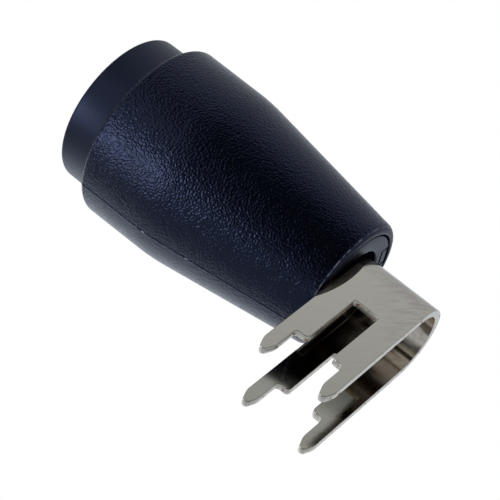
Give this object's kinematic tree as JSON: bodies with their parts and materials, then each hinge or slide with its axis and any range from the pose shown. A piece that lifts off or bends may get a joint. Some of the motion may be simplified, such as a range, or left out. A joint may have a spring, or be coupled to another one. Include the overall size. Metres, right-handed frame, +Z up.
{
  "type": "banana jack",
  "caption": "Right-angle board-mount jack for a shrouded 4 mm banana plug: tapered moulded housing, rear insulator, and a rolled and folded contact with tapered board pins.",
  "frame": {"origin": "middle of the board pins, level with the shoulders that stand on the board", "axes": "+X along the jack from its mouth to its terminals, +Z up from the board, +Y across"},
  "size_m": [0.0291, 0.0146, 0.0187],
  "materials": {
    "housing_polymer": "black, spark-eroded grain on the body, satin on the collar and rim",
    "insulator_polymer": "black, smooth",
    "plated_strip": "satin nickel plating on copper alloy strip, bare at the sheared edges"
  },
  "bodies": {
    "root": {"housing": "housing_polymer", "contact_insulator": "insulator_polymer", "contact": "plated_strip"}
  },
  "joints": []
}
